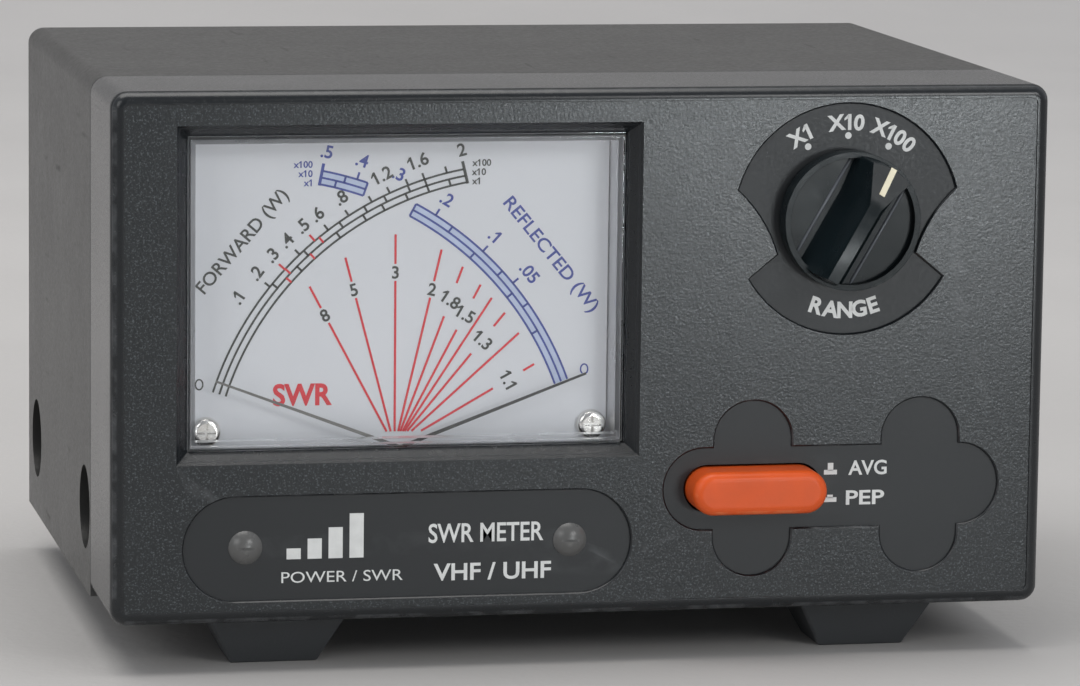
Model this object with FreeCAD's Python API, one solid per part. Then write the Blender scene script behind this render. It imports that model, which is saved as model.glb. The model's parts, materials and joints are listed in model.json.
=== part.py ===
"""Cross-needle SWR and power meter for the VHF and UHF bands, as an assembly of separate pieces.

Everything is drawn in the case's own frame: X to the right seen from the front and zero at the middle,
Y the depth behind the front face, Z the height above the case's underside. save() moves each piece to the
assembly's frame, whose origin is the centre of the bounding box on the surface that the feet stand on.
"""
import FreeCAD, Part
import math
import os

V = FreeCAD.Vector
X_AXIS, Y_AXIS, Z_AXIS = V(1, 0, 0), V(0, 1, 0), V(0, 0, 1)

# case
WIDTH, HEIGHT, DEPTH = 140.0, 78.0, 107.0
FOOT_HEIGHT = 7.5
KNOB_STAND = 9.5            # how far the knob stands in front of the front face
WALL = 2.5                  # moulded front and cover
FRONT_WALL = 3.0
BEZEL_DEPTH = 24.0
SEAM = 0.3
CORNER_R = 2.5
LIP_R, LIP_WIDTH, FIELD_SINK = 1.7, 1.9, 0.25
LABEL_SINK = 0.55           # depth of the three label recesses
RIM = 0.22                  # chamfer round the label recesses
REAR_PANEL_Y, REAR_PANEL_T = 103.5, 2.0
PLATE = 1.6                 # chassis sheet
WELL_R, WELL_WALL, WELL_DEPTH, WELL_Z = 6.3, 0.9, 8.0, 12.4
WELL_Y = (31.5, 95.5)
FOOT_X, FOOT_TOP, FOOT_BOTTOM = 44.8, (21.0, 17.0), (13.0, 10.0)
FOOT_Y = (13.5, 93.0)

# meter
METER_X, WINDOW_Z = -26.1, 48.25
WINDOW_W, WINDOW_H = 68.7, 49.5
LENS_W, LENS_H, LENS_WALL, LENS_Y = 64.4, 45.5, 0.9, 2.0
LENS_GAP = 0.3
DIAL_Y, DIAL_T, DIAL_BOTTOM = 9.0, 0.6, 24.4
BASE_Y, BASE_T = DIAL_Y + DIAL_T, 2.4
PIVOT_DX, PIVOT_Z = 21.5, 16.4      # each needle's pivot, from the meter's centre line and the underside
NEEDLE_LENGTH, NEEDLE_REST = 52.6, 20.6     # degrees above the horizontal at zero
NEEDLE_Y = {"forward": 6.0, "reflected": 7.0}
STAFF_R = 0.5
ZERO_DX, ZERO_Z, ZERO_R = 24.15, 11.2, 2.5
CRANK = 1.0                 # eccentricity of a zero adjuster's pin
DIAL_SCREW_DX, DIAL_SCREW_Z = 28.85, 27.1

# range knob and its switch
KNOB_X, KNOB_Z, KNOB_R, KNOB_TURN = 39.3, 58.3, 10.3, -30.0
KNOB_GAP = 0.3
NOSE_Y, NOSE_DROP = 3.2, 2.3        # where the knob's ridge ends, and how far its nose falls in the next 8 mm
RANGE_R = 17.1              # radius of the range label recess
SHAFT_R, BUSH_R = 1.5, 3.0
SHAFT_TOP = 4.2             # how far the shaft reaches into the knob, above the front face

# mode button and its switch
BUTTON_X, BUTTON_Z, BUTTON_W, BUTTON_H, BUTTON_STAND = 25.7, 18.3, 20.4, 6.5, 5.0
CROSS_X = (25.6, 51.2)      # centres of the two crosses of the mode label recess
LOBE_R, LOBE_REACH, BAR_H, BAR_X = 5.9, 13.1, 12.2, (12.1, 63.3)

# name plate recess
NAME_W, NAME_H, NAME_Z = 66.6, 15.4, 11.0

# rear
SOCKET_X, SOCKET_Z, SOCKET_R, SOCKET_LENGTH = 26.0, 42.0, 7.94, 15.6
FLANGE, FLANGE_T, SOCKET_HOLES = 25.4, 3.0, 18.2
JACK_X, JACK_Z = 52.0, 24.0
REAR_SCREW_X, REAR_SCREW_Z = 58.0, (8.0, 69.0)

FRONT_Y = KNOB_STAND - (KNOB_STAND + REAR_PANEL_Y + REAR_PANEL_T + FLANGE_T + SOCKET_LENGTH) / 2
SHIFT = V(0, FRONT_Y, FOOT_HEIGHT)


def save(name, *solids):
    """Writes one node: a single solid, or a group of separate solids."""
    shape = solids[0] if len(solids) == 1 else Part.makeCompound(list(solids))
    shape = shape.copy()
    shape.translate(SHIFT)
    shape.exportStep(os.path.join("parts", name + ".step"))


def block(x, y, z):
    """A box between two values along each axis."""
    return Part.makeBox(x[1] - x[0], y[1] - y[0], z[1] - z[0], V(x[0], y[0], z[0]))


def rod(x, z, r, y0, y1):
    """A cylinder along Y."""
    return Part.makeCylinder(r, y1 - y0, V(x, y0, z), Y_AXIS)


def ring(x, z, r_out, r_in, y0, y1):
    return rod(x, z, r_out, y0, y1).cut(rod(x, z, r_in, y0 - 1, y1 + 1))


def join(shapes):
    out = shapes[0]
    for shape in shapes[1:]:
        out = out.fuse(shape)
    return out.removeSplitter()


def remove(shape, cutters):
    for cutter in cutters:
        shape = shape.cut(cutter)
    return shape


def prism(points, y0, y1):
    """A closed outline of (x, z) points, extruded along Y."""
    wire = Part.makePolygon([V(x, y0, z) for x, z in points + points[:1]])
    return Part.Face(wire).extrude(V(0, y1 - y0, 0))


def stadium(x, z, w, h, y0, y1):
    """A plate with two round ends, lying along X where w > h and along Z otherwise."""
    r = min(w, h) / 2
    dx, dz = w / 2 - r, h / 2 - r
    ends = [rod(x - dx, z - dz, r, y0, y1), rod(x + dx, z + dz, r, y0, y1)]
    half = (w / 2, dz) if dz > dx else (dx, h / 2)
    return join(ends + [block((x - half[0], x + half[0]), (y0, y1), (z - half[1], z + half[1]))])


def front_fillet(shape, y, r):
    """Rounds the edges that lie in the plane Y = y."""
    edges = [e for e in shape.Edges if abs(e.BoundBox.YMin - y) < 1e-4 and abs(e.BoundBox.YMax - y) < 1e-4]
    return shape.makeFillet(r, edges)


def long_edges(shape, r, z_low):
    """Rounds the corner edges that run along Y above a height."""
    edges = [e for e in shape.Edges
             if e.BoundBox.YLength > 10 and e.BoundBox.XLength < 1e-4 and e.BoundBox.ZLength < 1e-4
             and e.BoundBox.ZMin > z_low]
    return shape.makeFillet(r, edges)


def pan_screw(p, axis, r, length, head_r, head_h, slot=0.5):
    """A pan-head screw: p is under the head, axis points from the thread's tip to the head."""
    head = Part.makeCylinder(head_r, head_h, p, axis)
    circles = [e for e in head.Edges if e.Curve.TypeId == "Part::GeomCircle"]
    rim = [e for e in circles if (e.CenterOfMass - p).dot(axis) > 0.1]
    head = head.makeFillet(head_h * 0.6, rim)
    shank = Part.makeCylinder(r, length, p - axis * length, axis)
    side = Y_AXIS if abs(axis.dot(Y_AXIS)) < 0.5 else X_AXIS
    other = axis.cross(side)
    top = p + axis * head_h
    for a, b in ((side, other), (other, side)):
        corner = top - a * (head_r * 0.62) - b * (slot / 2) - axis * (head_h * 0.55)
        cut = Part.makePolygon([corner, corner + a * head_r * 1.24, corner + a * head_r * 1.24 + b * slot,
                                corner + b * slot, corner])
        head = head.cut(Part.Face(cut).extrude(axis * head_h))
    return head.fuse(shank)


# ---------------------------------------------------------------- case

def range_recess(y0, y1):
    """The waisted label recess around the range knob: a wide sector above and a lower one below."""
    def at(r, degrees):
        a = math.radians(degrees)
        return V(KNOB_X + r * math.cos(a), y0, KNOB_Z + r * math.sin(a))
    top_right, top_left = at(RANGE_R, 15.2), at(RANGE_R, 164.8)
    low_right, low_left = at(RANGE_R, -30.7), at(RANGE_R, 210.7)
    waist_right, waist_left = at(11.6, -26.5), at(11.6, 206.5)
    edges = [
        Part.Arc(top_right, at(RANGE_R, 90), top_left).toShape(),
        Part.Arc(top_left, at(12.6, 181), waist_left).toShape(),
        Part.LineSegment(waist_left, low_left).toShape(),
        Part.Arc(low_left, at(RANGE_R, -90), low_right).toShape(),
        Part.LineSegment(low_right, waist_right).toShape(),
        Part.Arc(waist_right, at(12.6, -1), top_right).toShape(),
    ]
    return Part.Face(Part.Wire(edges)).extrude(V(0, y1 - y0, 0))


def mode_recess_parts(y0, y1):
    """Two crosses with round arms and the bar that joins them: the mode label recess, in three parts."""
    arms = [stadium(x, BUTTON_Z, 2 * LOBE_R, 2 * LOBE_REACH, y0, y1) for x in CROSS_X]
    return arms + [stadium(sum(BAR_X) / 2, BUTTON_Z, BAR_X[1] - BAR_X[0], BAR_H, y0, y1)]


def rim_cut(tool, y0):
    """The chamfer round a recess whose cutter starts at y0: its outline, widening by RIM up to the field."""
    outline = [f for f in tool.Faces if abs(f.BoundBox.YMax - y0) < 1e-4][0]
    above = 0.05
    wide = outline.makeOffset2D(RIM + above, join=2)
    wide.translate(V(0, FIELD_SINK - above - y0, 0))
    narrow = outline.copy()
    narrow.translate(V(0, FIELD_SINK + RIM - y0, 0))
    return Part.makeLoft([wide.OuterWire, narrow.OuterWire], True, True)


def window_cut():
    """The window: four sloping sides down to a straight opening that the lens fits."""
    def rect(w, h, y):
        x, z = w / 2, h / 2
        return Part.makePolygon([V(METER_X + a * x, y, WINDOW_Z + b * z)
                                 for a, b in ((-1, -1), (1, -1), (1, 1), (-1, 1), (-1, -1))])
    w, h = LENS_W + 2 * LENS_GAP, LENS_H + 2 * LENS_GAP
    slope = Part.makeLoft([rect(WINDOW_W, WINDOW_H, FIELD_SINK), rect(w, h, FRONT_WALL - 0.6)], True, True)
    mouth = block((METER_X - WINDOW_W / 2, METER_X + WINDOW_W / 2), (-1, FIELD_SINK),
                  (WINDOW_Z - WINDOW_H / 2, WINDOW_Z + WINDOW_H / 2))
    straight = block((METER_X - w / 2, METER_X + w / 2), (FRONT_WALL - 0.6, FRONT_WALL + 1),
                     (WINDOW_Z - h / 2, WINDOW_Z + h / 2))
    return join([mouth, slope, straight])


METER_SCREWS = [(METER_X + sx * 8.0, 8.0) for sx in (-1, 1)] + [(METER_X + sx * 30.3, 21.0) for sx in (-1, 1)]
BEZEL_SCREWS = [(x, 8.0) for x in (-56.0, 14.0, 56.0)]
SWITCH_POSTS = [(BUTTON_X + sx * 14.0, BUTTON_Z) for sx in (-1, 1)]


def front_bezel():
    half = WIDTH / 2
    shell = long_edges(block((-half, half), (0, BEZEL_DEPTH), (0, HEIGHT)), CORNER_R, -1)
    shell = front_fillet(shell, 0, LIP_R)
    inner = block((WALL - half, half - WALL), (FRONT_WALL, BEZEL_DEPTH + 1), (WALL, HEIGHT - WALL))
    field = long_edges(block((LIP_WIDTH - half, half - LIP_WIDTH), (-20, FIELD_SINK),
                             (LIP_WIDTH, HEIGHT - LIP_WIDTH)), 1.0, -1)
    recess = LABEL_SINK + FIELD_SINK
    labels = [range_recess(-1, recess), stadium(METER_X, NAME_Z, NAME_W, NAME_H, -1, recess)]
    labels += mode_recess_parts(-1, recess)
    shell = remove(shell, [inner, field, window_cut()] + labels + [rim_cut(label, -1) for label in labels] + [
        rod(KNOB_X, KNOB_Z, BUSH_R + 0.1, -1, 5),
        stadium(BUTTON_X, BUTTON_Z, BUTTON_W + 0.6, BUTTON_H + 0.6, -1, 5),
    ])
    shell = remove(shell, [rod(METER_X + sx * ZERO_DX, ZERO_Z, 1.65, -1, 5) for sx in (-1, 1)])
    posts = [rod(x, z, 2.8, FRONT_WALL - 0.5, BASE_Y) for x, z in METER_SCREWS]
    posts += [rod(x, z, 3.2, FRONT_WALL - 0.5, BEZEL_DEPTH) for x, z in BEZEL_SCREWS]
    posts += [rod(x, z, 2.2, FRONT_WALL - 0.5, 8.0) for x, z in SWITCH_POSTS]
    tongue_x, tongue_z = half - WALL, HEIGHT - WALL
    tongue = block((-tongue_x, tongue_x), (BEZEL_DEPTH - 3, BEZEL_DEPTH + 4), (22, tongue_z))
    tongue = tongue.cut(block((1.3 - tongue_x, tongue_x - 1.3), (0, 40), (0, tongue_z - 1.3)))
    shell = join([shell] + posts + [tongue])
    holes = [rod(x, z, 1.1, FRONT_WALL, 30) for x, z in METER_SCREWS + SWITCH_POSTS]
    holes += [rod(x, z, 1.5, 12, 30) for x, z in BEZEL_SCREWS]
    holes += [Part.makeCylinder(1.5, WALL + 1, V(sx * FOOT_X, FOOT_Y[0], -0.5)) for sx in (-1, 1)]
    return remove(shell, holes)


def case_cover():
    half, y0 = WIDTH / 2, BEZEL_DEPTH + SEAM
    t = WALL - SEAM
    shell = long_edges(block((-half, half), (y0, DEPTH), (0, HEIGHT)), CORNER_R, 10)
    shell = shell.cut(block((t - half, half - t), (y0 - 1, DEPTH + 1), (-1, HEIGHT - t)))
    cups, wells = [], []
    for sx in (-1, 1):
        for y in WELL_Y:
            def cup(r, depth, out):
                return Part.makeCylinder(r, depth + out, V(sx * (half + out), y, WELL_Z), V(-sx, 0, 0))
            cups.append(cup(WELL_R + WELL_WALL, WELL_DEPTH, 0))
            wells.append(cup(WELL_R, WELL_DEPTH - 1.6, 1))
            wells.append(cup(1.6, WELL_DEPTH + 1, 1))
    bosses = [block((sx * REAR_SCREW_X - 3.2, sx * REAR_SCREW_X + 3.2), (92, REAR_PANEL_Y),
                    (REAR_SCREW_Z[1] - 4, HEIGHT - t + 0.2)) for sx in (-1, 1)]
    shell = join([shell] + cups + bosses)
    return remove(shell, wells + [rod(sx * REAR_SCREW_X, REAR_SCREW_Z[1], 1.5, 93, 110) for sx in (-1, 1)])


def chassis_base():
    half = WIDTH / 2 - WALL
    y0 = BEZEL_DEPTH + SEAM
    sheets = [block((-half, half), (y0, REAR_PANEL_Y), (0, PLATE)),
              block((-60, 60), (y0, y0 + PLATE), (0, 14)),
              block((-half, half), (REAR_PANEL_Y - PLATE, REAR_PANEL_Y), (0, 4))]
    for sx in (-1, 1):
        sheets.append(block((sx * REAR_SCREW_X - 3.5, sx * REAR_SCREW_X + 3.5),
                            (REAR_PANEL_Y - PLATE, REAR_PANEL_Y), (0, 13)))
        inner = WIDTH / 2 - WELL_DEPTH - PLATE
        tab_x = sorted((sx * inner, sx * (inner + PLATE)))
        for y in WELL_Y:
            sheets.append(block(tab_x, (y - 5, y + 5), (0, 19)))
    base = join(sheets)
    holes = [rod(x, z, 1.6, y0 - 1, y0 + 3) for x, z in BEZEL_SCREWS]
    holes += [rod(sx * REAR_SCREW_X, REAR_SCREW_Z[0], 1.5, REAR_PANEL_Y - 3, REAR_PANEL_Y + 1)
              for sx in (-1, 1)]
    holes += [Part.makeCylinder(1.5, 140, V(-70, y, WELL_Z), X_AXIS) for y in WELL_Y]
    holes += [Part.makeCylinder(1.5, 4, V(sx * FOOT_X, FOOT_Y[1], -1)) for sx in (-1, 1)]
    holes += [Part.makeCylinder(1.25, 4, V(x, y, -1)) for x, y in BOARD_HOLES]
    return remove(base, holes)


def rear_panel():
    half = WIDTH / 2 - WALL
    y1 = REAR_PANEL_Y + REAR_PANEL_T
    panel = block((-half, half), (REAR_PANEL_Y, y1), (0, HEIGHT - WALL))
    holes = [rod(sx * SOCKET_X, SOCKET_Z, 6.1, 90, 110) for sx in (-1, 1)]
    holes += [rod(x, z, 1.3, 90, 110) for x, z in socket_screw_places()]
    holes += [rod(sx * REAR_SCREW_X, z, 1.6, 90, 110) for sx in (-1, 1) for z in REAR_SCREW_Z]
    holes.append(rod(JACK_X, JACK_Z, 4.1, 90, 110))
    return remove(panel, holes)


def foot(x, y):
    """A moulded foot that tapers on all four sides, with a counterbore for its screw."""
    def rect(size, z):
        a, b = size[0] / 2, size[1] / 2
        return Part.makePolygon([V(x + i * a, y + j * b, z)
                                 for i, j in ((-1, -1), (1, -1), (1, 1), (-1, 1), (-1, -1))])
    body = Part.makeLoft([rect(FOOT_BOTTOM, -FOOT_HEIGHT), rect(FOOT_TOP, 0)], True, True)
    rims = [e for e in body.Edges if e.BoundBox.ZLength > 1 or e.BoundBox.ZMax < 0.1 - FOOT_HEIGHT]
    body = body.makeFillet(0.6, rims)
    return remove(body, [Part.makeCylinder(3.0, 4.0, V(x, y, -FOOT_HEIGHT)),
                         Part.makeCylinder(1.6, 10, V(x, y, -FOOT_HEIGHT))])


def make_case():
    save("front_bezel", front_bezel())
    save("case_cover", case_cover())
    save("chassis_base", chassis_base())
    save("rear_panel", rear_panel())
    screws = [pan_screw(V(x, BEZEL_DEPTH + SEAM + PLATE, z), Y_AXIS, 1.5, 10, 2.8, 2.0)
              for x, z in BEZEL_SCREWS]
    outer = REAR_PANEL_Y + REAR_PANEL_T
    screws += [pan_screw(V(sx * REAR_SCREW_X, outer, z), Y_AXIS, 1.5, 8, 2.8, 2.0)
               for sx in (-1, 1) for z in REAR_SCREW_Z]
    floor = WIDTH / 2 - WELL_DEPTH + 1.6
    screws += [pan_screw(V(sx * floor, y, WELL_Z), V(sx, 0, 0), 1.5, 6, 2.8, 2.0)
               for sx in (-1, 1) for y in WELL_Y]
    save("case_screws", *screws)
    for side, sx in (("left", -1), ("right", 1)):
        for end, y in zip(("front", "rear"), FOOT_Y):
            save("foot_%s_%s" % (end, side), foot(sx * FOOT_X, y))
    save("foot_screws", *[pan_screw(V(sx * FOOT_X, y, 4.0 - FOOT_HEIGHT), V(0, 0, -1), 1.5, 5.6, 2.7, 1.8)
                          for sx in (-1, 1) for y in FOOT_Y])


# ---------------------------------------------------------------- meter

MOVEMENTS = (("forward", 1), ("reflected", -1))
YOKE_Y = (14.8, 22.8)
CORE_R, GAP_R, YOKE_R = 4.4, 6.4, 8.6
SPRING_Y = (8.0, 8.4)
LEVER_Y, LEVER_TAIL = (8.6, 9.3), 4.37


def meter_cover():
    """The clear box: a front plate and four walls, and a flange that bears on the back of the front panel."""
    x, z = LENS_W / 2, LENS_H / 2
    box = block((METER_X - x, METER_X + x), (LENS_Y, BASE_Y), (WINDOW_Z - z, WINDOW_Z + z))
    box = front_fillet(box, LENS_Y, 0.4)
    flange = block((METER_X - x - 1.6, METER_X + x + 1.6), (FRONT_WALL + 0.2, FRONT_WALL + 1.4),
                   (WINDOW_Z - z - 1.5, WINDOW_Z + z + 1.5))
    box = join([box, flange])
    x, z = x - LENS_WALL, z - LENS_WALL
    box = box.cut(block((METER_X - x, METER_X + x), (LENS_Y + 1.2, BASE_Y + 1), (WINDOW_Z - z, WINDOW_Z + z)))
    low = WINDOW_Z - LENS_H / 2
    return box.cut(block((METER_X - 40, METER_X + 40), (5.7, BASE_Y + 1), (low - 3, low + LENS_WALL)))


def meter_dial():
    half = LENS_W / 2 - LENS_WALL - 0.15
    plate = block((METER_X - half, METER_X + half), (DIAL_Y, BASE_Y),
                  (DIAL_BOTTOM, WINDOW_Z + LENS_H / 2 - LENS_WALL - 0.15))
    return remove(plate, [rod(METER_X + sx * DIAL_SCREW_DX, DIAL_SCREW_Z, 1.2, 0, 20) for sx in (-1, 1)])


def meter_base():
    x0, x1 = METER_X - 33.5, METER_X + 33.5
    plate = block((x0, x1), (BASE_Y, BASE_Y + BASE_T), (5, WINDOW_Z + 24))
    corners = [block((METER_X + sx * 29.7 - 4.2, METER_X + sx * 29.7 + 4.2), (0, 20), (0, 12))
               for sx in (-1, 1)]
    parts = [remove(plate, corners)]
    back = BASE_Y + BASE_T
    for _, side in MOVEMENTS:
        px = METER_X + side * PIVOT_DX
        parts.append(rod(px, PIVOT_Z, 1.5, SPRING_Y[1] + 0.15, BASE_Y + 0.5))
        for a in (60, 120, 240, 300):
            ax, az = 7.5 * math.cos(math.radians(a)), 7.5 * math.sin(math.radians(a))
            parts.append(rod(px + ax, PIVOT_Z + az, 1.0, back - 0.5, YOKE_Y[0]))
    base = join(parts)
    holes = [rod(METER_X + side * PIVOT_DX, PIVOT_Z, 0.8, 0, 30) for _, side in MOVEMENTS]
    holes += [rod(x, z, 1.3, 0, 30) for x, z in METER_SCREWS]
    holes += [rod(METER_X + sx * DIAL_SCREW_DX, DIAL_SCREW_Z, 1.1, 0, 30) for sx in (-1, 1)]
    return remove(base, holes)


def spiral(x, z, r0, r1, turns, width, y0, y1):
    """A flat spiral strip, drawn as half circles that step outwards."""
    steps = int(turns * 2)
    step = (r1 - r0) / steps
    halves = []
    for i in range(steps):
        r = r0 + i * step
        upper = i % 2 == 0
        middle = x if upper else x + step / 2
        band = ring(middle, z, r + step / 2 + width, r + step / 2, y0, y1)
        z_half = (z, z + 2 * r1) if upper else (z - 2 * r1, z)
        halves.append(band.common(block((x - 2 * r1, x + 2 * r1), (y0, y1), z_half)))
    return halves[0].fuse(halves[1:]).removeSplitter() if len(halves) > 1 else halves[0]


def yoke(px):
    """Soft-iron ring with two pole pieces that clamp the core magnet."""
    body = ring(px, PIVOT_Z, YOKE_R, GAP_R, *YOKE_Y)
    spokes = [block((px - 2, px + 2), YOKE_Y, (PIVOT_Z + lo, PIVOT_Z + hi)) for lo, hi in ((3, 7), (-7, -3))]
    return join([body] + spokes).cut(rod(px, PIVOT_Z, CORE_R, 0, 40))


def coil(px, side):
    """The moving coil on its former: a closed loop around the core, turned to its zero position."""
    y0, y1 = YOKE_Y[0] - 1.4, YOKE_Y[1] + 1.4
    loop = block((px - 6.0, px + 6.0), (y0, y1), (PIVOT_Z - 1.5, PIVOT_Z + 1.5))
    loop = loop.cut(block((px - 4.8, px + 4.8), (y0 + 1.0, y1 - 1.0), (PIVOT_Z - 2, PIVOT_Z + 2)))
    loop = loop.cut(rod(px, PIVOT_Z, STAFF_R, 0, 40))
    loop.rotate(V(px, 0, PIVOT_Z), Y_AXIS, -30.0 * side)
    return loop


def needle(px, side, y):
    """Hub, pointer and short tail in one flat stamping, drawn pointing along +X and then turned to zero."""
    pointer = prism([(px, PIVOT_Z - 0.35), (px + NEEDLE_LENGTH, PIVOT_Z - 0.16),
                     (px + NEEDLE_LENGTH, PIVOT_Z + 0.16), (px, PIVOT_Z + 0.35)], y + 0.25, y + 0.55)
    tail = block((px - 3.0, px), (y + 0.25, y + 0.55), (PIVOT_Z - 0.4, PIVOT_Z + 0.4))
    body = join([rod(px, PIVOT_Z, 1.5, y, y + 0.8), pointer, tail]).cut(rod(px, PIVOT_Z, STAFF_R, 0, 40))
    turn_to_zero(body, px, side)
    return body


def counterweight(px, side, y):
    weight = ring(px - 2.75, PIVOT_Z, 0.75, 0.4, y - 0.1, y + 0.9)
    weight = weight.cut(block((px - 3.0, px), (y + 0.25, y + 0.55), (PIVOT_Z - 0.4, PIVOT_Z + 0.4)))
    weight = weight.cut(rod(px, PIVOT_Z, 1.5, 0, 40))
    turn_to_zero(weight, px, side)
    return weight


def turn_to_zero(shape, px, side):
    """The forward needle rests towards the left, the reflected one towards the right."""
    angle = 180 + NEEDLE_REST if side > 0 else -NEEDLE_REST
    shape.rotate(V(px, 0, PIVOT_Z), Y_AXIS, angle)


def zero_lever(px, zx):
    """A ring on the base's bush, with a forked arm that the adjuster's pin moves and a balancing tail."""
    reach = math.hypot(zx - px, ZERO_Z - PIVOT_Z) - CRANK
    arm = block((px, px + reach + 1.6), LEVER_Y, (PIVOT_Z - 1.4, PIVOT_Z + 1.4))
    arm = arm.cut(block((px + reach - 1.0, px + reach + 2), (0, 20), (PIVOT_Z - 0.7, PIVOT_Z + 0.7)))
    tail = block((px - LEVER_TAIL, px), LEVER_Y, (PIVOT_Z - 2.2, PIVOT_Z + 2.2))
    lever = join([rod(px, PIVOT_Z, 2.6, *LEVER_Y), arm, tail]).cut(rod(px, PIVOT_Z, 1.55, 0, 20))
    angle = math.degrees(math.atan2(ZERO_Z - PIVOT_Z, zx - px))
    lever.rotate(V(px, 0, PIVOT_Z), Y_AXIS, -angle)
    return lever


def zero_adjuster(px, zx):
    """A domed, slotted head in the front panel, its stem, and an eccentric pin at the inner end."""
    recess = LABEL_SINK + FIELD_SINK
    dome_rise = 1.15
    sphere_r = (ZERO_R ** 2 + dome_rise ** 2) / (2 * dome_rise)
    seat = recess - 0.1
    dome = Part.makeSphere(sphere_r, V(zx, seat - dome_rise + sphere_r, ZERO_Z))
    dome = dome.common(rod(zx, ZERO_Z, ZERO_R, -5, seat))
    stem = rod(zx, ZERO_Z, 1.6, seat - 0.2, 5.6)
    crank = rod(zx, ZERO_Z, 1.9, 4.4, 5.6)
    away = V(px - zx, 0, PIVOT_Z - ZERO_Z).normalize() * CRANK
    pin = rod(zx + away.x, ZERO_Z + away.z, 0.5, 5.4, LEVER_Y[1])
    body = join([dome, stem, crank, pin])
    return body.cut(block((zx - 1.7, zx + 1.7), (seat - dome_rise - 1, seat - dome_rise + 0.3),
                          (ZERO_Z - 0.18, ZERO_Z + 0.18)))


def make_meter():
    save("meter_cover", meter_cover())
    save("meter_dial", meter_dial())
    save("dial_screws", *[pan_screw(V(METER_X + sx * DIAL_SCREW_DX, DIAL_Y, DIAL_SCREW_Z), V(0, -1, 0),
                                    1.1, 3.2, 2.2, 1.4, 0.4) for sx in (-1, 1)])
    save("meter_base", meter_base())
    back = BASE_Y + BASE_T
    save("meter_screws", *[pan_screw(V(x, back, z), Y_AXIS, 1.1, 6.5, 2.1, 1.4, 0.4)
                           for x, z in METER_SCREWS])
    save("meter_lamps", *[rod(METER_X + sx * 15, 66, 2.2, back, back + 9) for sx in (-1, 1)])
    front, rear, jewels, springs = [], [], [], []
    y0, y1 = YOKE_Y
    for name, side in MOVEMENTS:
        px, zx = METER_X + side * PIVOT_DX, METER_X + side * ZERO_DX
        save(name + "_yoke", yoke(px))
        save(name + "_core_magnet", ring(px, PIVOT_Z, CORE_R, 1.2, y0, y1))
        save(name + "_coil", coil(px, side))
        save(name + "_staff", rod(px, PIVOT_Z, STAFF_R, NEEDLE_Y[name] - 0.3, y1 + 3.4))
        save(name + "_needle", needle(px, side, NEEDLE_Y[name]))
        save(name + "_counterweight", counterweight(px, side, NEEDLE_Y[name]))
        save("zero_lever_" + name, zero_lever(px, zx))
        save("zero_adjuster_" + name, zero_adjuster(px, zx))
        strip = block((px - 8, px + 8), (back, back + 1), (PIVOT_Z - 2, PIVOT_Z + 2))
        front.append(strip.cut(rod(px, PIVOT_Z, 1.2, 0, 40)))
        strip = block((px - 8.6, px + 8.6), (y1 + 2, y1 + 3), (PIVOT_Z - 1.8, PIVOT_Z + 1.8))
        posts = [rod(px + sx * 7.5, PIVOT_Z, 0.9, y1, y1 + 2.5) for sx in (-1, 1)]
        rear.append(join([strip] + posts).cut(rod(px, PIVOT_Z, 1.2, 0, 40)))
        jewels += [ring(px, PIVOT_Z, 1.2, STAFF_R + 0.05, y, y + 1) for y in (back, y1 + 2)]
        springs.append(spiral(px, PIVOT_Z, 1.0, 3.2, 3, 0.12, *SPRING_Y))
    save("front_bridges", *front)
    save("rear_bridges", *rear)
    save("jewel_bearings", *jewels)
    save("hairsprings", *springs)


# ---------------------------------------------------------------- range knob and switch

def turned(shape):
    """Takes a piece drawn with its height along +Z and its pointer along +Y to the knob's place and angle."""
    out = shape.copy()
    out.rotate(V(0, 0, 0), Z_AXIS, KNOB_TURN)
    out.rotate(V(0, 0, 0), X_AXIS, 90)
    out.translate(V(KNOB_X, 0, KNOB_Z))
    return out


def knob_bar():
    """The finger bar: concave flanks up to a narrow ridge, which opens into a wide nose at the pointer."""
    def rail(y, base, top, h):
        mid = top + 0.33 * (base - top)
        left = Part.Arc(V(-base, y, 0.6), V(-mid, y, h * 0.42), V(-top, y, h)).toShape()
        right = Part.Arc(V(top, y, h), V(mid, y, h * 0.42), V(base, y, 0.6)).toShape()
        return Part.Wire([left, Part.LineSegment(V(-top, y, h), V(top, y, h)).toShape(), right,
                          Part.LineSegment(V(base, y, 0.6), V(-base, y, 0.6)).toShape()])
    ridge = [rail(-10.6, 4.5, 0.9, KNOB_STAND), rail(NOSE_Y, 4.5, 0.95, KNOB_STAND)]
    nose = [rail(NOSE_Y, 4.5, 0.95, KNOB_STAND), rail(10.6, 4.7, 4.0, KNOB_STAND)]
    return Part.makeLoft(ridge, True, True).fuse(Part.makeLoft(nose, True, True))


def knob_nose():
    """What is cut off the bar above the sloping nose."""
    wedge = Part.makePolygon([V(-8, NOSE_Y, KNOB_STAND), V(-8, NOSE_Y + 8, KNOB_STAND - NOSE_DROP),
                              V(-8, NOSE_Y + 8, 14), V(-8, NOSE_Y, 14), V(-8, NOSE_Y, KNOB_STAND)])
    return Part.Face(wedge).extrude(V(16, 0, 0))


def pointer_bar():
    """The inlaid pointer line, along the sloping nose."""
    bar = Part.makeBox(0.9, 4.5, 0.55, V(-0.45, 5.3, -0.45))
    bar.rotate(V(0, NOSE_Y, 0), X_AXIS, -math.degrees(math.atan2(NOSE_DROP, 8.0)))
    bar.translate(V(0, 0, KNOB_STAND))
    return bar


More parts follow.
